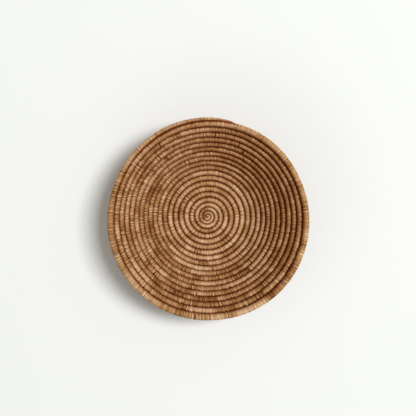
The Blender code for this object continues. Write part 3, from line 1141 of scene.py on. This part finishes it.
        # the bore's inner faces are painted fully shaded
        hollow = face | {"nook": 1.0}
        for order, (first, last) in enumerate(zip(cuts[:-1], cuts[1:])):
            surface = Surface(BakeSheet(first, last))
            grid, chart, values = self.outer(plan, first, last)
            outer = surface.rings(grid, chart, **values)
            marks = np.append(np.arange(first, last, self.bore_spacing), last)
            inside = (strip_turn[marks] >= self.bore_turn) & (strip_turn[marks] < route.last - route.tail_point)
            marks = marks[inside]
            bore_grid = self.bore(strip_turn[marks])
            bore_chart = chart_of(marks[:, None].astype(float), round_angles(self.around))
            inner = surface.rings(bore_grid, bore_chart, inwards=True, **hollow)
            for end, starts in ((0, True), (-1, False)):
                if marks[end] == (first, last)[end]:
                    surface.bridge(outer[end], inner[end], chart[end], first=starts)
                else:
                    surface.shut(outer[end], grid[end], chart[end], first=starts, **face)
                    surface.shut(inner[end], bore_grid[end], bore_chart[end], first=not starts, **hollow)
            surface.place(f"wrapping_part_{order + 1}", material, Body.PLATE, Slot.WRAPPING, "raffia_wrap")


@dataclass
class PlantStems:
    """The bundle of dry stems inside the wrapping: one in the middle and six round it, laid in length after length."""

    table: CoilTable
    lanes: int = 7
    stem_length: float = 0.27
    lane_shift: float = 0.041
    length_jitter: float = 0.02
    gap: float = 0.0012
    shortest: float = 0.0048
    tone_spread: float = 0.4
    thinnest: float = 0.86
    steps_per_turn: int = 72
    sides: int = 6
    wall: float = 0.0010
    clearance: float = 0.00012
    first_turn: float = 3.52
    last_turn: float = 20.03
    seed: int = 23

    def build(self, material: bpy.types.Material) -> None:
        """Builds all the stems as one piece of many closed tubes.

        Args:
            material: the stems' finish.
        """
        rng = np.random.default_rng(self.seed)
        begin, end = np.interp([self.first_turn, self.last_turn], self.table.turn, self.table.lengths())
        surface = Surface()
        for lane in range(self.lanes):
            marks = np.arange(begin - self.stem_length + lane * self.lane_shift, end, self.stem_length)
            marks = marks + rng.uniform(-self.length_jitter, self.length_jitter, len(marks))
            for start, stop in zip(np.maximum(marks, begin), np.append(marks[1:], end)):
                tone = rng.uniform(-self.tone_spread, self.tone_spread)
                size = rng.uniform(self.thinnest, 1.0)
                if stop - start > self.shortest:
                    self.stem(surface, lane, start, stop - self.gap, tone, size)
        surface.place("plant_stems", material, Body.PLATE, Slot.STEMS, "stem_bundle")

    def stem(self, surface: Surface, lane: int, start: float, stop: float, tone: float, size: float) -> None:
        """Adds one stem, a round tube that keeps its lane in the bundle.

        The bundle's radius is three times a stem's, because six equal rods fit round a seventh. A stem's middle lies
        two stem radii from the coil's middle, at its lane's sixth of a turn, or on it for the first lane.

        Args:
            surface: the surface to add to.
            lane: 0 for the middle, 1 to 6 round it.
            start: where the stem begins, as a distance along the coil.
            stop: where it ends.
            tone: its tone.
            size: its thickness as a share of the full one.
        """
        begin, end = self.table.turn_at(np.array([start, stop]))
        turn = np.linspace(begin, end, max(2, int((end - begin) * self.steps_per_turn)) + 1)
        thick = (self.table.route.diameter(turn) / 2.0 - self.wall - self.clearance) / 3.0
        lane_angle = TAU * (lane - 1) / 6.0
        offset = 0.0 if lane == 0 else 2.0
        angle = round_angles(self.sides)
        out = thick[:, None] * (offset * math.cos(lane_angle) + size * np.cos(angle))
        up = thick[:, None] * (offset * math.sin(lane_angle) + size * np.sin(angle))
        places = self.table.around(np.broadcast_to(turn[:, None], out.shape), np.arctan2(up, out), np.hypot(out, up))
        values = {"tone": tone, "warmth": 0.0, "nook": 0.0}
        surface.tube(into_world(places), chart_of(turn[:, None], angle), pole=values, **values)


# The hanging loop and its stitches

# painted shade on the cut ends
CUT_END_NOOK = 0.5  # how shaded the cut ends of the cord and the strips are


def evenly(line: np.ndarray, count: int) -> tuple[np.ndarray, np.ndarray]:
    """Reads a line of points again at equal steps.

    Args:
        line: the points, as rows of two coordinates.
        count: how many points are wanted.

    Returns:
        The new points, and the distance along the line to each.
    """
    spans = np.concatenate([[0.0], np.cumsum(np.linalg.norm(np.diff(line, axis=0), axis=1))])
    even = np.linspace(0.0, spans[-1], count)
    return np.stack([np.interp(even, spans, line[:, 0]), np.interp(even, spans, line[:, 1])], axis=-1), even


def left_of(line: np.ndarray) -> np.ndarray:
    """The direction square to a line on its left, at each of its points.

    Args:
        line: the points, as rows of two coordinates.

    Returns:
        The directions, as rows of length 1.
    """
    ways = np.gradient(line, axis=0)
    ways = ways / np.linalg.norm(ways, axis=1)[:, None]
    return np.stack([-ways[:, 1], ways[:, 0]], axis=-1)


@dataclass
class HangingLoop:
    """A loop of two strands of raffia twisted together, which stands on its two straight feet."""

    hinge: np.ndarray
    cord_diameter: float = 0.0026
    length: float = 0.040
    half_width: float = 0.0065
    bulge: float = 0.45
    bend_radius: float = 0.0028
    foot: float = 0.0046
    rise: float = math.radians(43.0)
    twist_length: float = 0.0062
    strand_offset: float = 0.00060
    waist: float = 0.35
    spacing: float = 0.00030
    around: int = 24
    foot_points: int = 11
    arch_points: int = 90
    end_round: float = 0.0008
    end_least: float = 0.04
    fibre_slant: float = 4.0
    tone: float = 0.35
    tone_swing: float = 0.25
    tone_length: float = 0.009
    strand_tone: float = 0.18
    warmth: float = 0.05
    nook_width: float = 1.8
    seed: int = 5

    def line(self) -> np.ndarray:
        """The cord's middle line in the loop's plane, as rows of across and up from the feet.

        It is a straight foot, a quarter circle, half an ellipse whose width is made fuller by the squared sine, and
        the same again mirrored.

        Returns:
            The line's points.
        """
        bend = self.half_width + self.bend_radius
        foot = np.linspace([-bend - self.foot, 0.0], [-bend, 0.0], self.foot_points, endpoint=False)
        quarter = np.linspace(0.0, math.pi / 2.0, self.foot_points, endpoint=False)
        corner = np.stack(
            [-bend + self.bend_radius * np.sin(quarter), self.bend_radius * (1.0 - np.cos(quarter))], axis=-1
        )
        half = np.linspace(0.0, math.pi, self.arch_points)
        up = self.bend_radius + (self.length - self.bend_radius) * np.sin(half)
        across = -self.half_width * (1.0 + self.bulge * np.sin(half) ** 2) * np.cos(half)
        start = np.concatenate([foot, corner])
        return np.concatenate([start, np.stack([across, up], axis=-1), start[::-1] * np.array([-1.0, 1.0])])

    def build(self, material: bpy.types.Material) -> None:
        """Builds the loop.

        The cord's section is the outline of two touching strands, which in polar form is the offset times the
        cosine plus the root of the strand's radius squared less the offset times the sine squared. It turns once in
        each twist length.

        Args:
            material: the cord's finish.
        """
        rough = self.line()
        total = float(np.linalg.norm(np.diff(rough, axis=0), axis=1).sum())
        line, spans = evenly(rough, int(total / self.spacing) + 1)
        beside = left_of(line)
        strand = self.cord_diameter / 2.0 - self.strand_offset
        angle = round_angles(self.around)
        twisted = angle[None, :] - (TAU * spans / self.twist_length)[:, None]
        root = np.maximum(strand ** 2 - (self.strand_offset * np.sin(twisted)) ** 2, (self.waist * strand) ** 2)
        reach = self.strand_offset * np.abs(np.cos(twisted)) + np.sqrt(root)
        reach *= rounded_end(np.minimum(spans, total - spans) / self.end_round, self.end_least)[:, None]
        in_plane = line[:, None, :] + beside[:, None, :] * (reach * np.cos(angle))[..., None]
        up = np.array([0.0, math.cos(self.rise), math.sin(self.rise)])
        normal = np.array([0.0, -math.sin(self.rise), math.cos(self.rise)])
        grid = self.hinge + in_plane[..., 0:1] * ACROSS + in_plane[..., 1:2] * up
        grid = grid + (reach * np.sin(angle))[..., None] * normal
        slant = self.fibre_slant * (angle / TAU)[None, :] - (spans / self.twist_length)[:, None]
        tone = self.tone + self.tone_swing * wander(np.random.default_rng(self.seed), spans, self.tone_length)
        surface = Surface()
        surface.tube(
            grid, chart_of(slant, angle), pole={"tone": 0.0, "warmth": self.warmth, "nook": CUT_END_NOOK},
            tone=tone[:, None] + self.strand_tone * np.sign(np.cos(twisted)), warmth=self.warmth,
            # painted shade in the crease between the two strands
            nook=1.0 - np.clip(np.abs(np.cos(twisted)) * self.nook_width, 0.0, 1.0),
        )
        surface.place("twisted_loop", material, Body.LOOP, Slot.CORD, "hanging_loop")


@dataclass
class LoopStitch:
    """Passes of flat raffia that bind one foot of the loop down across two turns of the coil."""

    table: CoilTable
    loop: HangingLoop
    side: Side
    inner_turn: int = 15
    passes: int = 3
    pass_width: float = 0.00135
    pass_spacing: float = 0.00140
    thickness: float = 0.00034
    seat: float = 0.00004
    sink: float = math.radians(17.0)
    skew: float = 0.0005
    flatness: float = 0.6
    tones: tuple[float, float] = (-0.2, 0.5)
    warmths: tuple[float, float] = (0.0, 0.2)
    directions: int = 400
    steps: int = 90
    around: int = 12
    seed: int = 31

    def turns_under(self, x: float) -> tuple[np.ndarray, np.ndarray, float]:
        """The two turns under the stitch, where the coil passes a distance from the plate's middle.

        Args:
            x: the distance across the plate.

        Returns:
            The middles of the inner and the outer turn in the plate's frame, and the coil's radius there.
        """
        route = self.table.route
        guess = route.last - (math.pi / 2.0 - route.tail_angle) / TAU - route.whole_turns + self.inner_turn
        turn = guess + math.asin(x / float(np.interp(guess, self.table.turn, self.table.radius))) / TAU
        inner, outer = self.table.around(np.array([turn, turn + 1.0]), np.zeros(2), np.zeros(2))
        return inner, outer, float(route.diameter(np.array(turn + 0.5)) + route.turn_gap) / 2.0

    def line(self, rounds: np.ndarray) -> np.ndarray:
        """The taut line over some rounds.

        It is the edge of the smallest hull round them, whose point in each direction is that of the round that
        reaches furthest that way.

        Args:
            rounds: each round's middle, as two coordinates, and its radius.

        Returns:
            The line's points at equal steps.
        """
        angle = np.linspace(math.pi - self.sink, self.sink, self.directions)
        way = np.stack([np.cos(angle), np.sin(angle)], axis=-1)
        best = rounds[np.argmax(rounds[:, :2] @ way.T + rounds[:, 2:3], axis=0)]
        return evenly(best[:, :2] + best[:, 2:3] * way, self.steps)[0]

    def build(self, material: bpy.types.Material) -> None:
        """Builds the passes, each as its own piece, taut over the inner turn, the cord's foot and the outer turn.

        A pass is a flattened tube: its half width times the cosine to a power, by its half thickness times the sine.

        Args:
            material: the stitches' finish.
        """
        rng = np.random.default_rng(self.seed + self.side.value)
        side = self.side.name.lower()
        middle = self.side.value * (self.loop.half_width + self.loop.bend_radius + self.loop.foot / 2.0)
        angle = round_angles(self.around)
        wide = self.pass_width / 2.0 * np.sign(np.cos(angle)) * np.abs(np.cos(angle)) ** self.flatness
        thick = self.thickness / 2.0 * np.sin(angle)
        for order in range(self.passes):
            x = middle + (order - (self.passes - 1) / 2.0) * self.pass_spacing
            inner, outer, size = self.turns_under(x)
            origin = (inner + outer) / 2.0
            half = float(np.linalg.norm(outer - inner)) / 2.0
            along = (outer - inner) / (2.0 * half)
            back = np.cross(along, ACROSS)
            back = -back * np.sign(back[2])
            foot = np.array([x, self.loop.hinge[2], -self.loop.hinge[1]]) - origin
            rounds = np.array([
                [-half, 0.0, size], [foot @ along, foot @ back, self.loop.cord_diameter / 2.0], [half, 0.0, size],
            ])
            rounds[:, 2] += self.seat + self.thickness / 2.0
            path = self.line(rounds)
            square = left_of(path)
            slide = self.skew * rng.uniform(-1.0, 1.0) * np.linspace(-1.0, 1.0, self.steps)
            spot = path[:, None, :] + square[:, None, :] * thick[None, :, None]
            sideways = wide[None, :] + slide[:, None]
            grid = origin + spot[..., 0:1] * along + spot[..., 1:2] * back + sideways[..., None] * ACROSS
            strip = np.broadcast_to(wide / self.pass_width + 2.0 * order, (self.steps, self.around))
            values = {"tone": rng.uniform(*self.tones), "warmth": rng.uniform(*self.warmths), "nook": 0.0}
            surface = Surface()
            pole = values | {"nook": CUT_END_NOOK}
            surface.tube(into_world(grid), chart_of(strip, angle), pole, inwards=True, **values)
            surface.place(f"stitch_{side}_pass_{order + 1}", material, Body.PLATE, Slot.STITCH, f"loop_stitch_{side}")


# The room


@dataclass
class Room:
    """The pale wall behind the plate, the daylight and the camera.

    The window leans from straight in front towards the right, and turns up from there. The lamp behind hangs as far
    off as it is wide. The camera's azimuth and elevation are taken at the middle of the rim.
    """

    wall_half: float = 2.5
    wall_back: float = 0.0010
    key_distance: float = 8.0
    key_size: tuple[float, float] = (3.5, 2.2)
    key_lean: float = math.radians(25.4)
    key_turn: float = math.radians(23.0)
    key_power: float = 485.0
    back_way: tuple[float, float, float] = (0.35, 0.9, 0.45)
    back_size: float = 2.0
    back_power: float = 16.0
    world_strength: float = 0.35
    world_colour: Colour = (0.99, 1.0, 0.93, 1.0)
    seen_strength: float = 0.95
    rim_depth: float = 0.0746
    camera_distance: float = 1.20
    azimuth: float = math.radians(-3.55)
    elevation: float = math.radians(4.13)
    aim_x: float = -0.0034
    aim_z: float = 0.0174
    frame_width: float = 0.6197
    sensor: float = 36.0

    def build(self) -> None:
        """Builds the wall, the world, the lamps and the camera."""
        self.wall()
        self.world()
        lean, turn = self.key_lean, self.key_turn
        window = np.array([math.sin(lean) * math.cos(turn), -math.cos(lean), math.sin(lean) * math.sin(turn)])
        self.lamp("window", window * self.key_distance, self.key_size, self.key_power)
        behind = np.array(self.back_way)
        behind = behind / np.linalg.norm(behind) * self.back_size
        self.lamp("behind", behind, (self.back_size, self.back_size), self.back_power)
        self.camera()

    def wall(self) -> None:
        """Makes the wall, a flat sheet just behind the plate that faces the camera."""
        half, back = self.wall_half, self.wall_back
        mesh = bpy.data.meshes.new("room_wall")
        corners = [(-half, back, -half), (half, back, -half), (half, back, half), (-half, back, half)]
        mesh.from_pydata(corners, [], [(0, 1, 2, 3)])
        mesh.materials.append(WallFinish().material())
        wall = bpy.data.objects.new("room_wall", mesh)
        bpy.context.scene.collection.objects.link(wall)
        wall.visible_shadow = False

    def world(self) -> None:
        """Makes the soft light from all round, and a white background for the camera."""
        world = bpy.data.worlds.new("daylight")
        world.use_nodes = True
        bpy.context.scene.world = world
        sketch = Sketch(world.node_tree)
        seen = sketch.add("LightPath")
        light = world.node_tree.nodes["Background"]
        sketch.feed(light.inputs, {"Color": self.world_colour, "Strength": self.world_strength})
        white = sketch.add("Background", {"Color": WHITE, "Strength": self.seen_strength})
        both = sketch.add("MixShader", {0: seen.outputs["Is Camera Ray"], 1: light.outputs[0], 2: white.outputs[0]})
        sketch.feed(world.node_tree.nodes["World Output"].inputs, {"Surface": both.outputs[0]})

    def stand(self, name: str, data: bpy.types.ID, place: np.ndarray, aim: np.ndarray) -> bpy.types.Object:
        """Stands a lamp or a camera at a place in the world's frame, turned to face another.

        Args:
            name: the new object's name.
            data: the lamp or camera.
            place: where it stands.
            aim: the place that it faces.

        Returns:
            The new object.
        """
        holder = bpy.data.objects.new(name, data)
        bpy.context.scene.collection.objects.link(holder)
        holder.location = place.tolist()
        holder.rotation_mode = "QUATERNION"
        sight = Vector(aim.tolist()) - holder.location
        holder.rotation_quaternion = sight.to_track_quat("-Z", "Y")
        return holder

    def lamp(self, name: str, place: np.ndarray, size: tuple[float, float], power: float) -> None:
        """Makes a white rectangular lamp that faces the plate.

        Args:
            name: its name.
            place: where it hangs, in the world's frame.
            size: its width and height.
            power: its power in watts.
        """
        lamp = bpy.data.lights.new(name, "AREA")
        lamp.shape = "RECTANGLE"
        lamp.size, lamp.size_y = size
        lamp.energy = power
        self.stand(name, lamp, place, np.zeros(3)).visible_camera = False

    def camera(self) -> None:
        """Makes the camera, at the photograph's angle and distance."""
        camera = bpy.data.cameras.new("camera")
        camera.sensor_width = self.sensor
        camera.lens = self.sensor * self.camera_distance / self.frame_width
        centre = np.array([0.0, -self.rim_depth, 0.0])
        level = math.cos(self.elevation)
        way = np.array([
            math.sin(self.azimuth) * level, -math.cos(self.azimuth) * level, math.sin(self.elevation),
        ])
        aim = centre + np.array([self.aim_x, 0.0, self.aim_z])
        bpy.context.scene.camera = self.stand("camera", camera, centre + way * self.camera_distance, aim)
        bpy.context.scene.view_settings.view_transform = "Standard"


def main() -> None:
    """Builds the plate's pieces in order."""
    logging.basicConfig(level=logging.INFO, format="%(name)s: %(message)s")
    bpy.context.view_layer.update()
    groups = LeafFibres().group(), leaf_colour_group()
    table = CoilRoute().table()
    RaffiaWrapping(table).build(LeafFinish("wrapping raffia").material(*groups))
    stems = LeafFinish(
        "dry plant stems", pale=(0.66, 0.56, 0.34, 1.0), middle=(0.50, 0.40, 0.21, 1.0), dark=(0.30, 0.21, 0.10, 1.0),
        roughness=0.7, seed=4.0,
    )
    PlantStems(table).build(stems.material(*groups))
    cord = LeafFinish(
        "twisted raffia", pale=(0.70, 0.48, 0.26, 1.0), middle=(0.50, 0.28, 0.12, 1.0), across=3.0, along=1.0,
        roughness=0.52, seed=9.0,
    )
    loop = HangingLoop(np.array(frame["joints"][0]["pos_m"], float))
    loop.build(cord.material(*groups))
    stitch = LeafFinish("stitch raffia", across=6.0, along=0.6, roughness=0.44, seed=15.0).material(*groups)
    for side in Side:
        LoopStitch(table, loop, side).build(stitch)
    Room().build()


if __name__ == "__main__":
    main()
